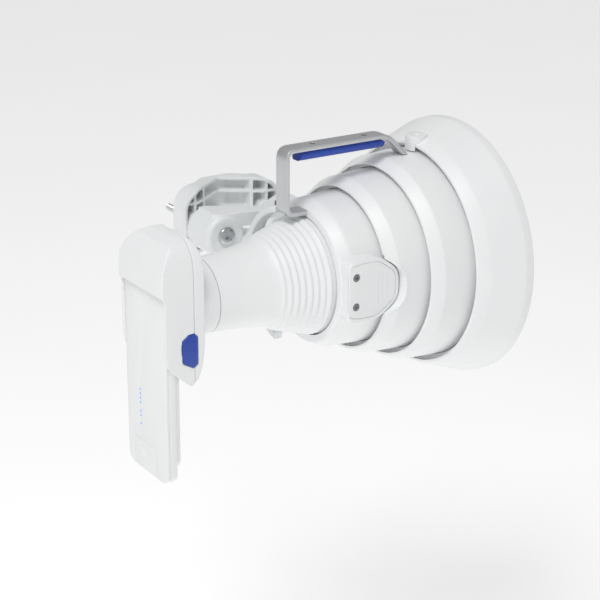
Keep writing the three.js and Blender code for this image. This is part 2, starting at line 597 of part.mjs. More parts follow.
function frontCover() {
  const lenses = LED_Z.map((z) => rod([-219, LED_Y, z], [-208, LED_Y, z], 1.1 + GAP, 12));
  return cut(faceBody(), slabAlongX(doorShape(GAP), -230, -200), ...lenses);
}

function portDoor() {
  const dent = rod([RADIO.face - 2, HORN_Y + 5, -177], [RADIO.face + 1.2, HORN_Y + 5, -177], 6, 24);
  return cut(faceBody().intersect(slabAlongX(doorShape(0), -230, -200)), dent);
}

const SOCKET = { y: HORN_Y + 5, half: 8, low: -196, high: -176, front: -211.4, back: -201 };
const socketRoom = (x0, x1) => box(x0, x1, SOCKET.y - SOCKET.half - GAP, SOCKET.y + SOCKET.half + GAP, -230,
  SOCKET.high + GAP);

function radioBase() {
  const slab = slabAlongX(radioOutline(0), COVER_BACK + GAP, BASE_BACK);
  const pocket = slabAlongX(radioOutline(3), COVER_BACK - 2, BASE_BACK - 2.2);
  return cut(slab, pocket, socketRoom(-212, -190));
}

function rearHousing() {
  const tray = slabAlongX(radioOutline(2, HOUSING_BOTTOM - 2), BASE_BACK + GAP, HOUSING_BACK);
  return cut(tray, socketRoom(-210, -200.6));
}

function networkSocket() {
  const { y, half, low, high, front, back } = SOCKET;
  const body = box(front, back, y - half, y + half, low, high);
  return cut(body, box(front + 1.5, back - 1.5, y - 6, y + 6, low - 5, high - 3));
}

function lightPipe() {
  const runner = box(-211.8, -210.8, LED_Y - 1.2, LED_Y + 1.2, LED_Z[6] - 2, LED_Z[0] + 2);
  return join(runner, ...LED_Z.map((z) => rod([RADIO.face - 0.05, LED_Y, z], [-211.5, LED_Y, z], 1.1, 12)));
}

place('front_cover', frontCover(), whitePolymer);
place('port_door', portDoor(), whitePolymer);
place('radio_base', radioBase(), whitePolymer);
place('rear_housing', rearHousing(), whitePolymer);
place('network_socket', networkSocket(), darkRubber);
place('circuit_board', box(-208, -206.4, HORN_Y - 38, HORN_Y + 38, -170, 8), boardGreen);
place('shield_can', box(-210.4, -208.3, HORN_Y - 30, HORN_Y + 4, -100, -40), satinAluminium);
place('light_pipe', lightPipe(), clearLens);

export default group;
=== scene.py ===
# %% [markdown]
# # An outdoor wireless bridge
# A slab radio hangs in a latched cradle behind a stepped horn, and a half-ring yoke carries the
# horn on a clamp that grips a pole. The mechanical model is loaded as a fixed frame in metres, and
# this lesson gives each of its pieces the surface that a moulder, a caster or a turner would.

# %% Load the frame
import math

import bpy
from mathutils import Matrix, Vector


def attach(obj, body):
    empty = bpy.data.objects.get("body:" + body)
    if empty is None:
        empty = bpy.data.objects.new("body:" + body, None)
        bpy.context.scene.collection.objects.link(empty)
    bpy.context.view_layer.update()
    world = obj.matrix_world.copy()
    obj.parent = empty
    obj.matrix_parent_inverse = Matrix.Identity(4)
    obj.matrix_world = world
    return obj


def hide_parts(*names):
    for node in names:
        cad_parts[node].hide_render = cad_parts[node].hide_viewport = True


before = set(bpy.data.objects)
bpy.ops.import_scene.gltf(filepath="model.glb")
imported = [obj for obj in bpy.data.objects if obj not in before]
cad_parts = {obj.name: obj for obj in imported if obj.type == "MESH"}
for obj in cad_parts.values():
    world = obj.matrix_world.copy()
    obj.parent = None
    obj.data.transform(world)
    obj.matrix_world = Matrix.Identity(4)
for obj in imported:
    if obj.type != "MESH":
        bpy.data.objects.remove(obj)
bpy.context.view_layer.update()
MM = 0.001

# %% [markdown]
# ## The camera
# The camera stands two metres off, to the left of the horn and twenty degrees above it. A long
# lens keeps the uprights nearly parallel, as a catalogue picture does. One matrix, built from the
# azimuth, the elevation and a slight roll, places it.

# %% Place the camera
AZIMUTH = math.radians(-33.164)
ELEVATION = math.radians(19.994)
ROLL = math.radians(0.273)
STAND_OFF = 2.0
AIM_RIGHT = 0.0721
AIM_UP = -0.09564
LENS_MM = 104.18
SENSOR_MM = 36
back = Vector((math.sin(AZIMUTH) * math.cos(ELEVATION), -math.cos(AZIMUTH) * math.cos(ELEVATION),
               math.sin(ELEVATION)))
right = Vector((math.cos(AZIMUTH), math.sin(AZIMUTH), 0))
up = back.cross(right)
eye = back * STAND_OFF + right * AIM_RIGHT + up * AIM_UP
rolled_right = right * math.cos(ROLL) + up * math.sin(ROLL)
rolled_up = up * math.cos(ROLL) - right * math.sin(ROLL)

bpy.ops.object.camera_add()
camera = bpy.context.object
facing = Matrix((rolled_right, rolled_up, back)).transposed().to_4x4()
camera.matrix_world = Matrix.Translation(eye) @ facing
camera.data.lens = LENS_MM
camera.data.sensor_width = SENSOR_MM
camera.data.clip_end = 50
bpy.context.scene.camera = camera
print("the camera stands at", [round(c, 3) for c in eye])

# %% [markdown]
# ## Materials
# A finish is built from what the real surface is and how it was made. One function turns the
# colours' hex values to linear light, and one adds a node with its settings and its links, so that
# each material below reads as a short recipe.

# %% Two helpers for materials
def linear(hex_colour):
    """An sRGB hex value as the linear red, green, blue and alpha that the shader wants."""
    channels = [int(hex_colour[i:i + 2], 16) / 255 for i in (1, 3, 5)]
    return [c / 12.92 if c <= 0.04045 else ((c + 0.055) / 1.055) ** 2.4 for c in channels] + [1]


def add_node(tree, kind, settings=None, links=None):
    """A node with its own settings, its inputs' values, and the sockets that feed it."""
    node = tree.nodes.new("ShaderNode" + kind)
    for key, value in (settings or {}).items():
        if key in node.inputs:
            node.inputs[key].default_value = value
        else:
            setattr(node, key, value)
    for key, source in (links or {}).items():
        tree.links.new(source, node.inputs[key])
    return node


def start_material(name, colour, roughness, **settings):
    """A material with its shader, and the object's own coordinates to hang patterns on."""
    material = bpy.data.materials.new(name)
    material.use_nodes = True
    tree = material.node_tree
    shader = tree.nodes["Principled BSDF"]
    shader.inputs["Base Color"].default_value = linear(colour)
    shader.inputs["Roughness"].default_value = roughness
    for key, value in settings.items():
        shader.inputs[key.replace("_", " ")].default_value = value
    place = add_node(tree, "TexCoord").outputs["Object"]
    return material, tree, shader, place


def per_metre(size_mm):
    """The noise scale whose patches are about this many millimetres across."""
    return 1 / (size_mm * MM)


def mottle(tree, shader, place, light, dark, size_mm):
    """A very faint change of colour across the surface, as pigment and handling leave."""
    cloud = add_node(tree, "TexNoise", {"Scale": per_metre(size_mm), "Detail": 3.0}, {"Vector": place})
    ramp = add_node(tree, "ValToRGB", {}, {"Fac": cloud.outputs["Fac"]})
    ramp.color_ramp.elements[0].position = 0.3
    ramp.color_ramp.elements[0].color = linear(dark)
    ramp.color_ramp.elements[1].position = 0.7
    ramp.color_ramp.elements[1].color = linear(light)
    tree.links.new(ramp.outputs["Color"], shader.inputs["Base Color"])


def vary_roughness(tree, shader, place, low, high, size_mm):
    """Patches that are a little more polished or more matt than their neighbours."""
    cloud = add_node(tree, "TexNoise", {"Scale": per_metre(size_mm), "Detail": 4.0}, {"Vector": place})
    span = add_node(tree, "MapRange", {"To Min": low, "To Max": high}, {"Value": cloud.outputs["Fac"]})
    tree.links.new(span.outputs["Result"], shader.inputs["Roughness"])


def raise_grain(tree, shader, height, depth_mm, strength):
    """Small relief that the eye reads as texture: its real depth is in millimetres."""
    bump = add_node(tree, "Bump", {"Strength": strength, "Distance": depth_mm * MM}, {"Height": height})
    tree.links.new(bump.outputs["Normal"], shader.inputs["Normal"])


# %% [markdown]
# ### Moulded plastics
# The housings are moulded ASA, an outdoor plastic with a fine spark-eroded texture about a third
# of a millimetre across. It gives a satin white with soft, wide highlights. The blue pieces are
# nylon from the same kind of mould, a shade glossier where hands touch them.

# %% Moulded plastic materials
def moulded_plastic(name, light, dark, roughness, grain_mm=0.35, relief=0.12):
    material, tree, shader, place = start_material(name, light, roughness, IOR=1.5)
    mottle(tree, shader, place, light, dark, 90)
    vary_roughness(tree, shader, place, roughness - 0.05, roughness + 0.06, 25)
    grain = add_node(tree, "TexNoise", {"Scale": per_metre(grain_mm), "Detail": 2.0}, {"Vector": place})
    raise_grain(tree, shader, grain.outputs["Fac"], 0.02, relief)
    return material


asa_white = moulded_plastic("moulded_asa_white", "#f4f5f5", "#eff1f2", 0.42)
asa_radome = moulded_plastic("thermoformed_asa_radome", "#eceeee", "#e6e9ea", 0.5, grain_mm=0.6)
nylon_blue = moulded_plastic("moulded_nylon_blue", "#2d4fb4", "#2746a6", 0.38)
rubber_black = moulded_plastic("moulded_rubber_black", "#26272a", "#1f2023", 0.75, grain_mm=0.5, relief=0.3)
print("moulded plastics:", asa_white.name, asa_radome.name, nylon_blue.name, rubber_black.name)

# %% [markdown]
# ### Powder-coated casting
# The jaws and the yoke are die-cast aluminium under white powder. Powder flows as it cures, and
# leaves an orange peel with waves about two millimetres long, which breaks up the highlights.

# %% Powder coat material
powder_coat, tree, shader, place = start_material("powder_coat_white", "#eceeee", 0.4, IOR=1.5)
mottle(tree, shader, place, "#eef0f0", "#e6e9ea", 40)
vary_roughness(tree, shader, place, 0.36, 0.48, 12)
peel = add_node(tree, "TexNoise", {"Scale": per_metre(2.0), "Detail": 2.0}, {"Vector": place})
raise_grain(tree, shader, peel.outputs["Fac"], 0.08, 0.22)
print("powder coat:", powder_coat.name)

# %% [markdown]
# ### Metals
# The handle is aluminium that was bead blasted and then anodised, so it is pale and even, with a
# very fine grain. The screws and bolts are zinc-plated steel: a cooler grey, with cloudy patches
# from the plating bath and a very fine grain. A metal keeps its default IOR.

# %% Metal materials
def metal_finish(name, light, dark, roughness, grain_mm, patch_mm, relief):
    material, tree, shader, place = start_material(name, light, roughness, Metallic=1.0)
    mottle(tree, shader, place, light, dark, patch_mm)
    vary_roughness(tree, shader, place, roughness - 0.07, roughness + 0.09, patch_mm / 2)
    grain = add_node(tree, "TexNoise", {"Scale": per_metre(grain_mm), "Detail": 3.0}, {"Vector": place})
    raise_grain(tree, shader, grain.outputs["Fac"], 0.02, relief)
    return material


anodised = metal_finish("bead_blasted_anodised_aluminium", "#d9dadc", "#cfd1d3", 0.42, 0.3, 30, 0.18)
zinc = metal_finish("zinc_plated_steel", "#cdcfd1", "#b9bbbe", 0.22, 0.5, 5, 0.06)
dull_zinc = metal_finish("dull_zinc_socket_steel", "#8d9093", "#75787b", 0.4, 0.5, 4, 0.15)
print("metals:", anodised.name, zinc.name, dull_zinc.name)

# %% [markdown]
# ### Board and lenses
# The circuit board is glass laminate under green solder mask, with a faint weave about two
# millimetres apart. The seven lenses are clear polycarbonate lit from behind by blue diodes, so their shader
# gives out light of its own.

# %% Board and lens materials
solder_mask, tree, shader, place = start_material("green_solder_mask", "#1d5a3c", 0.35, IOR=1.5)
mottle(tree, shader, place, "#22633f", "#184d33", 6)
WEAVE_SCALE = 1000 / 6.283
weave = add_node(tree, "TexWave", {"Scale": WEAVE_SCALE}, {"Vector": place})
raise_grain(tree, shader, weave.outputs["Fac"], 0.02, 0.1)

lit_lens, tree, shader, place = start_material("lit_blue_lens", "#3f8cff", 0.2, IOR=1.58,
                                               Emission_Color=linear("#2f7dff"), Emission_Strength=0.9)
mottle(tree, shader, place, "#4f9bff", "#2f7dff", 1.5)
print("board and lens:", solder_mask.name, lit_lens.name)

# %% [markdown]
# ## Shaping helpers
# Every round piece here is made as a turner makes it: a circle is set at the first station of a
# profile and extruded to the next ones, and resized on the way. The corners of a profile are first
# eased with small arcs, because a moulded or turned edge is never knife sharp.

# %% Selection and modifiers
EASE_STEPS = 4
EDGE_SHARE = 0.45


def only(piece):
    """Leaves one object selected and active."""
    bpy.ops.object.select_all(action="DESELECT")
    piece.select_set(True)
    bpy.context.view_layer.objects.active = piece


def modified(piece, kind, **settings):
    """Adds one modifier, sets it, and applies it."""
    only(piece)
    modifier = piece.modifiers.new(kind.title(), kind)
    for key, value in settings.items():
        setattr(modifier, key, value)
    bpy.ops.object.modifier_apply(modifier=modifier.name)
    return piece


def in_place(piece):
    """Moves the object's place, turn and scale into its mesh."""
    only(piece)
    bpy.ops.object.transform_apply(location=True, rotation=True, scale=True)
    return piece


def eased(stations, radius):
    """The profile with each corner but its two ends replaced by a small curve, in EASE_STEPS steps."""
    points = [Vector(s) for s in stations]
    curve = [points[0]]
    for before, corner, after in zip(points, points[1:], points[2:]):
        reach = min(radius, (before - corner).length * EDGE_SHARE, (after - corner).length * EDGE_SHARE)
        start = corner + (before - corner).normalized() * reach
        end = corner + (after - corner).normalized() * reach
        for step in range(EASE_STEPS + 1):
            t = step / EASE_STEPS
            curve.append(start * (1 - t) ** 2 + corner * 2 * t * (1 - t) + end * t ** 2)
    curve.append(points[-1])
    return [tuple(p) for p in curve]


# %% [markdown]
# ### Turning
# A lathe turns a bar against a profile, and an extruded circle does the same work here. Each
# station of the profile is a place along the axis and a radius, so a wall, a dome and a thread can
# all be given as short lists. A closed profile ends on its first station and is merged there.

# %% Turned pieces
MERGE = 2e-6
AXIS_TURN = {"X": (0, math.pi / 2, 0), "Y": (-math.pi / 2, 0, 0), "Z": (0, 0, 0)}
AXIS_UNIT = {"X": Vector((1, 0, 0)), "Y": Vector((0, 1, 0)), "Z": Vector((0, 0, 1))}


def turned(name, stations, centre, axis, sides=128, hollow=False):
    """A circle extruded along an axis through stations of (place along the axis, radius)."""
    unit = AXIS_UNIT[axis]
    base = Vector(centre) - unit * unit.dot(Vector(centre))
    first, radius = stations[0]
    bpy.ops.object.select_all(action="DESELECT")
    bpy.ops.mesh.primitive_circle_add(vertices=sides, radius=radius, location=base + unit * first,
                                      rotation=AXIS_TURN[axis], fill_type="NOTHING" if hollow else "NGON")
    piece = bpy.context.object
    piece.name = name
    in_place(piece)
    bpy.ops.object.mode_set(mode="EDIT")
    bpy.ops.mesh.select_all(action="SELECT")
    for (here, r_here), (there, r_there) in zip(stations, stations[1:]):
        bpy.ops.mesh.extrude_region_move(TRANSFORM_OT_translate={"value": unit * (there - here)})
        widening = r_there / r_here
        size = [1 if unit[i] else widening for i in range(3)]
        bpy.ops.transform.resize(value=size, center_override=base + unit * there)
    bpy.ops.mesh.select_all(action="SELECT")
    bpy.ops.mesh.remove_doubles(threshold=MERGE)
    bpy.ops.mesh.normals_make_consistent(inside=False)
    bpy.ops.object.mode_set(mode="OBJECT")
    return piece


# %% [markdown]
# ### Finishing and fitting
# Every piece ends the same way: it is smoothed, given its finish, and hung on the body that it
# moves with. Two more helpers fit solids to each other, as a saw and a form would.

# %% Finishing a piece
def finished(piece, body, slot, material, *nodes, angle=35):
    """Smooths a piece, gives it its material, and hangs it on its body in place of its nodes."""
    in_place(piece)
    bpy.ops.object.shade_smooth_by_angle(angle=math.radians(angle))
    piece.data.materials.clear()
    piece.data.materials.append(material)
    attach(piece, body)
    if nodes:
        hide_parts(*nodes)
    print(piece.name, "has", len(piece.data.polygons), "faces")
    return piece


def cut_out(piece, tool):
    """Cuts one solid from another, and throws the cutter away."""
    modified(piece, "BOOLEAN", operation="DIFFERENCE", solver="EXACT", object=tool)
    bpy.data.objects.remove(tool)
    return piece


def kept_inside(piece, tool):
    """Keeps what two solids share, and throws the second away."""
    modified(piece, "BOOLEAN", operation="INTERSECT", solver="EXACT", object=tool)
    bpy.data.objects.remove(tool)
    return piece

# %% [markdown]
# ## Moulded and cast pieces from their solids
# Flat-sided pieces already have their true shape. A copy is merged into one skin, its flat areas
# are made whole, and each edge is rounded as its mould rounds it. A casting is softer still: it is
# rebuilt as an even skin of small squares and then relaxed, which leaves a fillet in every corner.

# %% Copies with moulded edges and with cast fillets
def copy_of(node, name):
    """A merged copy of a CAD node, as one clean skin."""
    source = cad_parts[node]
    piece = source.copy()
    piece.data = source.data.copy()
    piece.parent = None
    piece.matrix_world = Matrix.Identity(4)
    piece.name = name
    for key in list(piece.keys()):
        del piece[key]
    bpy.context.scene.collection.objects.link(piece)
    only(piece)
    bpy.ops.object.mode_set(mode="EDIT")
    bpy.ops.mesh.select_all(action="SELECT")
    bpy.ops.mesh.remove_doubles(threshold=1e-6)
    bpy.ops.mesh.customdata_custom_splitnormals_clear()
    bpy.ops.object.mode_set(mode="OBJECT")
    return piece


def moulded(node, name, radius_mm, limit=30):
    """A copy with its sharp edges rounded, as a mould rounds them."""
    piece = copy_of(node, name)
    bpy.ops.object.mode_set(mode="EDIT")
    bpy.ops.mesh.select_all(action="SELECT")
    bpy.ops.mesh.dissolve_limited(angle_limit=math.radians(0.5))
    bpy.ops.object.mode_set(mode="OBJECT")
    modified(piece, "BEVEL", width=radius_mm * MM, segments=3, limit_method="ANGLE",
             angle_limit=math.radians(limit), use_clamp_overlap=True)
    return piece


SKIN_SQUARE = 0.8


def cast(node, name, square_mm, passes):
    """A copy rebuilt from small squares and relaxed, with a fillet in every corner."""
    piece = copy_of(node, name)
    modified(piece, "REMESH", mode="VOXEL", voxel_size=square_mm * MM, adaptivity=0)
    modified(piece, "SMOOTH", factor=0.5, iterations=passes)
    return piece


# %% [markdown]
# ## The horn's shells
# The horn is a stack of four conical shells. Each begins with a lip that stands clear of the shell
# behind it, slopes outwards, and then runs nearly straight under the next. Turning each one as a
# closed wall gives the thin shadow under every lip, which a single stepped surface would lack.

# %% Ring sizes
HORN_Y = -172 * MM
HORN_Z = -15 * MM
HORN = (0, HORN_Y, HORN_Z)
RING_X = [-23.5, 23, 69.5, 116]
RING_R = [74.6, 91, 107.5, 124.9]
MOUTH_X = 176
MOUTH_R = 145.3
WALL = 2.6
BAND_LENGTH = 12.6
BAND_RISE = 6.8
WALL_RISE = 2.9
LAP = 15.5
GAP = 0.4
RIM_LENGTH = 10
RIM_DROP = 0.6
WEB = 2.5
NECK_END_R = 67.8
FIRST_LIP_R = 66.6


def metres(stations):
    return [(x * MM, r * MM) for x, r in stations]


def ring_wall(i):
    """The closed section of one ring: outside from lip to front edge, then back inside."""
    x, r = RING_X[i], RING_R[i]
    first, last = i == 0, i == len(RING_X) - 1
    band_r = r + BAND_RISE
    end_x, end_r = (MOUTH_X, MOUTH_R) if last else (RING_X[i + 1] + LAP, band_r + WALL_RISE)
    inner = (NECK_END_R if first else RING_R[i - 1] + BAND_RISE + WALL_RISE) + GAP
    web = x + BAND_LENGTH - 2
    outside = [(x, r - 1.3), (x, r), (x + BAND_LENGTH, band_r)]
    if last:
        outside.append((MOUTH_X - RIM_LENGTH, MOUTH_R - RIM_DROP))
    outside += [(end_x, end_r), (end_x, end_r - WALL)]
    if last:
        outside.append((MOUTH_X - RIM_LENGTH, MOUTH_R - RIM_DROP - WALL))
    inside = [(web + 2 * WEB, band_r - WALL), (web + WEB, band_r - WALL - 1), (web + WEB, inner)]
    if first:
        inside += [(web, inner), (x, FIRST_LIP_R), (x, r - 3.5)]
        return eased([(x, r - 3.5)] + outside[1:], 3) + inside
    inside += [(web, inner), (web, r + 3 - WALL), (x, r - WALL), (x, r - 1.3)]
    return eased(outside, 1.4) + inside


# %% [markdown]
# ### The rings themselves
# The four walls differ only in their sizes, so one loop turns them all. The first has a thick lip
# that comes down close to the neck, and the last runs out to the horn's rim.

# %% Turn the four rings
ROUND_SIDES = 160
rings = []
for i in range(len(RING_X)):
    ring = turned(f"horn_ring_{i + 1}", metres(ring_wall(i)), HORN, "X", sides=ROUND_SIDES, hollow=True)
    rings.append(ring)
print("turned", len(rings), "rings")

# %% [markdown]
# ## The side covers
# A flat cover sits in a raised frame on each side of the first two rings. The second ring is cut
# away round it, and a pocket wall that follows the ring's own curve closes the cut. Each is drawn
# as an outline, extruded, and let in, which is cleaner than raising it from the curved wall.

# %% Side cover frames
COVER_REAR, COVER_FRONT, COVER_Z = -22.5, 36, -12
COVER_HALF, COVER_MID, COVER_TIP = 27, 30, 14
COVER_PLANE = 87.2
COVER_DEPTH = 2.4
FRAME_GROW, POCKET_GROW, POCKET_RIM = 5, 6, 3
OUTSIDE = 130
SIDES = (("near", -1), ("far", 1))


def cover_outline(grow):
    """The cover's outline in X and Z, straight behind, narrower in front, with round corners."""
    tip = COVER_TIP + grow * 0.5
    top = [(COVER_REAR, COVER_HALF + grow), (COVER_REAR + 14, COVER_MID + grow),
           (COVER_FRONT - 22, COVER_MID + grow), (COVER_FRONT + grow, tip)]
    corners = [(x, COVER_Z + z) for x, z in top] + [(x, COVER_Z - z) for x, z in reversed(top)]
    middle = (COVER_REAR, COVER_Z)
    return eased([middle] + corners + [middle], 7 + grow)[:-1]


def slab_from(name, outline, side, near, far):
    """A flat outline in X and Z, extruded along Y between two distances from the horn's axis."""
    bpy.ops.object.select_all(action="DESELECT")
    bpy.ops.mesh.primitive_circle_add(vertices=len(outline), radius=0.01, fill_type="NGON")
    slab = bpy.context.object
    slab.name = name
    for vertex, (x, z) in zip(slab.data.vertices, outline):
        vertex.co = (x * MM, HORN_Y + side * near * MM, z * MM)
    bpy.ops.object.mode_set(mode="EDIT")
    bpy.ops.mesh.select_all(action="SELECT")
    bpy.ops.mesh.extrude_region_move(TRANSFORM_OT_translate={"value": (0, side * (far - near) * MM, 0)})
    bpy.ops.mesh.select_all(action="SELECT")
    bpy.ops.mesh.normals_make_consistent(inside=False)
    bpy.ops.object.mode_set(mode="OBJECT")
    return slab


def pocket_skin():
    """A solid that stands a little proud of the second ring, to give the pocket wall its rim."""
    x, r = RING_X[1], RING_R[1]
    front = RING_X[2] + LAP
    section = [(x + 0.6, 1), (x + 0.6, r + 0.4), (x + BAND_LENGTH, r + BAND_RISE + 0.7),
               (front, r + BAND_RISE + 3.4), (front, 1)]
    return turned("pocket_skin", metres(eased(section, 1.2)), HORN, "X", sides=ROUND_SIDES)


rim = POCKET_GROW + POCKET_RIM
for word, side in SIDES:
    cut_out(rings[1], slab_from("cutter", cover_outline(rim), side, 40, OUTSIDE))
    pocket = slab_from(f"cover_pocket_{word}", cover_outline(rim + 0.02), side, COVER_PLANE - 4, OUTSIDE)
    kept_inside(pocket, pocket_skin())
    cut_out(pocket, slab_from("cutter", cover_outline(POCKET_GROW), side, 40, OUTSIDE))
    modified(pocket, "BEVEL", width=0.8 * MM, segments=3, limit_method="ANGLE", angle_limit=math.radians(50))
    finished(pocket, "horn", "white_polymer", asa_white)
    bowl = slab_from(f"cover_frame_{word}", cover_outline(FRAME_GROW), side, 70, COVER_PLANE)
    modified(bowl, "BEVEL", width=1.6 * MM, segments=4, limit_method="ANGLE")
    recess = COVER_PLANE - COVER_DEPTH - 0.3
    cut_out(bowl, slab_from("cutter", cover_outline(0.35), side, recess, 100))
    finished(bowl, "horn", "white_polymer", asa_white)

# %% [markdown]
# ### Finishing the rings
# The rings are dressed only now, because the second one had to be cut first. A narrow smoothing
# angle keeps the step at each lip crisp and lets the long cones run smooth.

# %% Finish the rings
for i, ring in enumerate(rings):
    finished(ring, "horn", "white_polymer", asa_white, f"ring_{i + 1}", angle=28)

# %% [markdown]
# ## The covers and their grooves
# Each cover is the frame's flat lid with three fine grooves moulded in its front half. Grooves this
# size catch a line of shade, so they are cut into the surface rather than painted on it.

# %% Covers and grooves
SCREW_BACK = 9
SCREW_SPREAD = 16
GROOVES = 3
GROOVE_X, GROOVE_PITCH, GROOVE_WIDTH = 14, 5.5, 1


def cover_groove(k):
    """One upright groove's outline, a little shorter than the one behind it."""
    x = GROOVE_X + k * GROOVE_PITCH
    half = 17 - k * 2
    return [(x, COVER_Z - half), (x + GROOVE_WIDTH, COVER_Z - half),
            (x + GROOVE_WIDTH, COVER_Z + half), (x, COVER_Z + half)]


for word, side in SIDES:
    lid = slab_from(f"cover_lid_{word}", cover_outline(0), side, COVER_PLANE - COVER_DEPTH, COVER_PLANE)
    modified(lid, "BEVEL", width=0.6 * MM, segments=3, limit_method="ANGLE")
    for z in (COVER_Z - SCREW_SPREAD, COVER_Z + SCREW_SPREAD):
        bore = [((HORN_Y + side * d * MM) / MM, 4.3) for d in (70, 100)]
        centre = ((COVER_REAR + SCREW_BACK) * MM, 0, z * MM)
        cut_out(lid, turned("cutter", metres(bore), centre, "Y", sides=32))
    for k in range(GROOVES):
        cut_out(lid, slab_from("cutter", cover_groove(k), side, COVER_PLANE - 0.5, COVER_PLANE + 3))
    finished(lid, "horn", "white_polymer", asa_white, f"side_cover_{word}")

# %% [markdown]
# ## The corrugated neck
# The neck carries the throat out to the first ring. Eight soft corrugations stiffen its wide end:
# a cosine added to the cone gives them their rounded crests and valleys in one line. A short boss
# on the far side takes the bolt that the horn tilts on.

# %% Turn the neck
NECK = [(-147.4, 39.7), (-128, 40.7), (-106.7, 42.6), (-87.4, 45.6), (-80.5, 47.4)]
NECK_END_X = -11.8
RIPPLE_START, RIPPLE_PITCH, RIPPLES = -80.5, 6.8, 8
RIPPLE_R0, RIPPLE_R1 = 47.4, 64.0
RIPPLE_HEIGHT = 1.8
STEPS_PER_RIPPLE = 10

neck_outside = eased(NECK, 8)[:-1]
for step in range(RIPPLES * STEPS_PER_RIPPLE + 1):
    turn = step / STEPS_PER_RIPPLE
    cone = RIPPLE_R0 + (RIPPLE_R1 - RIPPLE_R0) * turn / RIPPLES
    crest = RIPPLE_HEIGHT * (0.5 - 0.5 * math.cos(2 * math.pi * turn)) ** 0.8
    fade_in = min(1, 0.5 + turn / 4)
    neck_outside.append((RIPPLE_START + turn * RIPPLE_PITCH, cone + crest * fade_in))
neck_outside.append((NECK_END_X, NECK_END_R))
neck_inside = [(NECK_END_X, NECK_END_R - 3), (-26.1, 61), (-80.5, 44.4), (-106.7, 39.6), (-147.4, 36.7),
               NECK[0]]
neck = turned("horn_neck", metres(neck_outside + neck_inside), HORN, "X", sides=144, hollow=True)
finished(neck, "horn", "white_polymer", asa_white, "neck", angle=40)

ELEVATION_BOLT = (-38 * MM, 0, HORN_Z)
BOSS = [(-116, 11), (-103.2, 10.5), (-103.2, 5)]
boss = turned("elevation_boss", metres(eased(BOSS, 1)), ELEVATION_BOLT, "Y", sides=48)
finished(boss, "horn", "white_polymer", asa_white)

# %% [markdown]
# ## The throat collar and the radome
# The collar joins the neck to the cradle and flares into it. The radome is a shallow domed lid that
# closes the mouth. Both are turned, and the dome's curve is a quarter of a long ellipse.

# %% Turn the collar and the radome
COLLAR_OUTSIDE = [(-170.4, 43), (-169, 43), (-164, 40.6), (-147.9, 39.7), (-147.9, 37)]
COLLAR_INSIDE = [(-147.9, 34.5), (-166, 29), (-170.4, 29), (-170.4, 43)]
collar_wall = metres(eased(COLLAR_OUTSIDE, 1.2) + COLLAR_INSIDE)
collar = turned("throat_collar_skin", collar_wall, HORN, "X", sides=128, hollow=True)
finished(collar, "horn", "white_polymer", asa_white, "throat_collar")

DOME_STEPS = 16
DOME_X, DOME_RISE, DOME_R = 176.2, 4.9, 141.0
dome = [(168.6, 20), (168.6, 141.6), (175.9, 141.6)]
for step in range(1, DOME_STEPS):
    angle = step / DOME_STEPS * math.pi / 2
    dome.append((DOME_X + DOME_RISE * math.sin(angle), DOME_R * math.cos(angle)))
radome = turned("radome_skin", metres(dome), HORN, "X", sides=ROUND_SIDES)
finished(radome, "horn", "white_radome", asa_radome, "radome")

# %% [markdown]
# ## The handle
# The handle is one flat bar bent three times, with a blue grip screwed under it. Tumbling breaks
# the bar's edges, and a mould rounds the grip's and the pad's, so all get a round of 0.7 to 0.8 mm.

# %% Handle, grip and pad
bar = moulded("handle_bar", "bent_handle_bar", 0.7)
finished(bar, "horn", "satin_aluminium", anodised, "handle_bar", angle=40)
grip = moulded("handle_grip", "soft_hand_grip", 0.8, limit=40)
finished(grip, "horn", "blue_polymer", nylon_blue, "handle_grip", angle=45)
pad = moulded("accessory_pad", "accessory_pad_skin", 0.8)
finished(pad, "horn", "white_polymer", asa_white, "accessory_pad", angle=40)

# %% [markdown]
# ## The cradle
# Two shells meet at an upright parting line behind the radio, and a blue button in each side lets
# the radio go. The shells are rebuilt as an even skin and relaxed, which rounds every outer edge
# generously, and the buttons keep their solids' shape with a one-millimetre round.

# %% Cradle shells and buttons
for word in ("front", "rear"):
    shell = cast(f"cradle_{word}_shell", f"cradle_{word}_skin", SKIN_SQUARE, 5)
    finished(shell, "horn", "white_polymer", asa_white, f"cradle_{word}_shell", angle=60)
for word, _ in SIDES:
    button = moulded(f"latch_button_{word}", f"latch_cap_{word}", 1.0)
    finished(button, f"latch_{word}", "blue_polymer", nylon_blue, f"latch_button_{word}", angle=50)

# %% [markdown]
# ## The radio
# The radio is a thin slab of three trays. Their edges have a small round, so that each joint shows
# as a fine line down the side. The port door is a flap at the foot of the face with a finger dent.

# %% Radio shells
for node, name, radius in (("front_cover", "radio_face", 0.9), ("radio_base", "radio_tray", 0.7),
                           ("rear_housing", "radio_back", 0.9)):
    shell = moulded(node, name, radius)
    finished(shell, "radio", "white_polymer", asa_white, node, angle=40)
door = moulded("port_door", "port_door_flap", 0.45)
finished(door, "port_door", "white_polymer", asa_white, "port_door", angle=40)

# %% [markdown]
# ## The clamp and the yoke
# The jaws and the yoke are castings, and every inside corner of a casting is filleted so that the
# metal can flow. The even skin gives them that, with squares under a millimetre.

# %% Castings
CASTINGS = (("front_jaw", "clamp", 8), ("rear_jaw", "rear_jaw", 3), ("yoke", "yoke", 4))
for node, body, passes in CASTINGS:
    casting = cast(node, f"cast_{node}", SKIN_SQUARE, passes)
    finished(casting, body, "white_casting", powder_coat, node, angle=60)
pin = moulded("pivot_pin", "pivot_pin_skin", 0.4)
finished(pin, "clamp", "white_casting", powder_coat, "pivot_pin", angle=40)

# %% [markdown]
# ## Bolts, nuts and screws
# A carriage bolt has a low domed head with no slot. Its threaded end is turned as a row of fine
# ridges, about 1.25 mm apart on an M8. The socket screws have a plain round head with a six-sided
# socket, so each is turned and then cut.

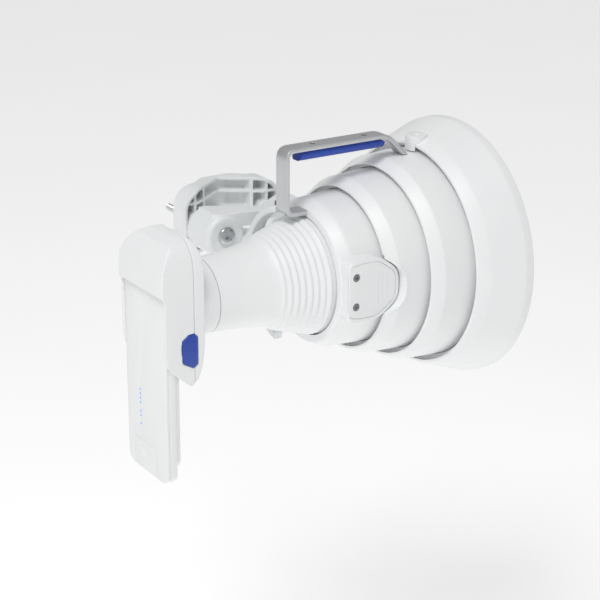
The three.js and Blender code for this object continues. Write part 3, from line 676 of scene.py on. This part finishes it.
# %% Threads and fasteners
THREAD_PITCH = 1.25
THREAD_DEPTH = 0.5


def threaded(start, end, radius):
    """Stations of a threaded stretch: a crest and a root for each turn."""
    turns = int(abs(end - start) / THREAD_PITCH)
    step = (end - start) / turns
    stations = []
    for k in range(turns):
        stations += [(start + step * k, radius), (start + step * (k + 0.5), radius - THREAD_DEPTH)]
    return stations + [(end, radius - 0.8)]


BOLT_X = 48
BOLT_R = 4.0
BOLT_TIP = 78
HEAD_SEAT = -55.3
HEAD_R = 10.3
HEAD_RIM, HEAD_DOME = 1.2, 3.7
HEAD_STEPS = 8


def carriage_bolt():
    """Stations from the middle of the domed head to the threaded tip."""
    stations = [(HEAD_SEAT - HEAD_RIM - HEAD_DOME, 0.8)]
    for step in range(1, HEAD_STEPS + 1):
        angle = step / HEAD_STEPS * math.pi / 2
        stations.append((HEAD_SEAT - HEAD_RIM - HEAD_DOME * math.cos(angle), HEAD_R * math.sin(angle)))
    stations += [(HEAD_SEAT - 0.2, HEAD_R), (HEAD_SEAT, HEAD_R - 0.3)]
    stations += [(HEAD_SEAT + 0.01, BOLT_R), (-8, BOLT_R)]
    return metres(stations + threaded(-6, BOLT_TIP, BOLT_R))


for word, x in (("left", -BOLT_X), ("right", BOLT_X)):
    bolt = turned(f"domed_bolt_{word}", carriage_bolt(), (x * MM, 0, 0), "Y", sides=48)
    finished(bolt, "clamp", "zinc_steel", zinc, f"carriage_bolt_{word}", angle=30)


def socket_head(name, seat, tip, centre, axis, head_r, height, node, body):
    """A socket cap screw's head and shank, turned, with a six-sided socket cut in its top."""
    shank = head_r * 0.6
    stations = [(tip, shank), (seat, shank), (seat + 0.01, head_r - 0.3), (seat + 0.4, head_r)]
    stations += [(seat + height - 0.7, head_r), (seat + height, head_r - 0.7)]
    screw = turned(name, metres(stations), centre, axis, sides=48)
    unit = AXIS_UNIT[axis]
    base = Vector(centre) - unit * unit.dot(Vector(centre))
    socket_middle = base + unit * (seat + height * 0.98) * MM
    bpy.ops.object.select_all(action="DESELECT")
    bpy.ops.mesh.primitive_cylinder_add(vertices=6, radius=head_r * 0.52 * MM, depth=height * MM,
                                        location=socket_middle, rotation=AXIS_TURN[axis])
    cut_out(screw, in_place(bpy.context.object))
    return finished(screw, body, "zinc_steel", dull_zinc, node, angle=30)


LOCK_SCREW = (20 * MM, -57 * MM, 0)
YOKE_SCREW = (-19 * MM, -75.5 * MM, 0)
socket_head("azimuth_socket_screw", 24.3, 8.6, LOCK_SCREW, "Z", 5, 6, "azimuth_lock_screw", "clamp")
socket_head("yoke_socket_screw", 9.6, -7.8, YOKE_SCREW, "Z", 6.5, 7.8, "yoke_screw", "yoke")
socket_head("elevation_socket_bolt", -94.1, -107.9, ELEVATION_BOLT, "Y", 6.5, 5.9, "elevation_bolt", "yoke")

# %% [markdown]
# ### Nuts, washers and small screws
# These are stock parts with flat faces, so a copy of each solid with its edges broken is enough:
# half a millimetre on a nut's corners, and a quarter on a stamped washer or a small head.

# %% Nuts, washers and small screws
def stock_part(node, name, edge_mm, body, material):
    """A bought steel part: a copy of its solid with its edges broken."""
    finished(moulded(node, name, edge_mm), body, "zinc_steel", material, node)


for word in ("left", "right"):
    stock_part(f"nut_{word}", f"hex_nut_{word}", 0.5, "rear_jaw", zinc)
    stock_part(f"washer_{word}", f"flat_washer_{word}", 0.25, "rear_jaw", zinc)
stock_part("yoke_screw_washer", "spring_washer", 0.25, "yoke", dull_zinc)
small_screws = [f"cover_screw_{word}_{level}" for word, _ in SIDES for level in ("low", "high")]
small_screws += ["grip_screw_rear", "grip_screw_front"]
for node in small_screws:
    stock_part(node, node + "_head", 0.25, "horn", dull_zinc)

# %% [markdown]
# ## Materials for the pieces that keep their solids
# What is left is sealed inside or already true to shape: the feed, the board, the shield, the leaf
# springs, the socket, the seal and the lenses. Each takes the finish of its real material.

# %% Finish the carried-over nodes
KEPT = {"waveguide_feed": anodised, "shield_can": zinc, "latch_leaf_near": zinc, "latch_leaf_far": zinc,
        "radome_gasket": rubber_black, "network_socket": rubber_black, "circuit_board": solder_mask,
        "light_pipe": lit_lens}
for node, material in KEPT.items():
    for material_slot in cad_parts[node].material_slots:
        material_slot.material = material
print("carried over:", ", ".join(KEPT))

# %% [markdown]
# ## The stage
# A pale floor lies well below the object, which hangs from its clamp, under a bright even sky. A
# large soft lamp above and to the left shapes the rings, and a weaker one lights the radio's face.
# The paper glows a little, as a lit table does, so that it stays white under the object.

# %% Floor, sky and lamps
FLOOR_SIZE = 14
FLOOR_Z = -0.62
MIDDLE = (0, -0.15, 0)
bpy.ops.object.select_all(action="DESELECT")
bpy.ops.mesh.primitive_plane_add(size=FLOOR_SIZE, location=(0, 0, FLOOR_Z))
floor = bpy.context.object
floor.name = "studio_floor"
paper, tree, shader, place = start_material("backlit_white_paper", "#fbfbfb", 0.9,
                                            Emission_Color=linear("#ffffff"), Emission_Strength=0.36)
mottle(tree, shader, place, "#fcfcfc", "#fafafa", 400)
floor.data.materials.append(paper)

world = bpy.data.worlds.new("soft_sky")
bpy.context.scene.world = world
world.use_nodes = True
world.node_tree.nodes["Background"].inputs["Color"].default_value = linear("#ffffff")
world.node_tree.nodes["Background"].inputs["Strength"].default_value = 0.44
bpy.context.scene.view_settings.view_transform = "Standard"


def soft_lamp(name, place_m, aim, size, watts):
    """A square soft lamp that looks at a point."""
    bpy.ops.object.light_add(type="AREA", location=place_m)
    lamp = bpy.context.object
    lamp.name = name
    lamp.data.size = size
    lamp.data.energy = watts
    lamp.rotation_euler = (Vector(aim) - Vector(place_m)).to_track_quat("-Z", "Y").to_euler()


soft_lamp("key_lamp", (-1.0, -0.9, 2.1), MIDDLE, 1.0, 27)
soft_lamp("fill_lamp", (-2.0, -0.9, 0.3), MIDDLE, 1.4, 3)
print("the stage is set")
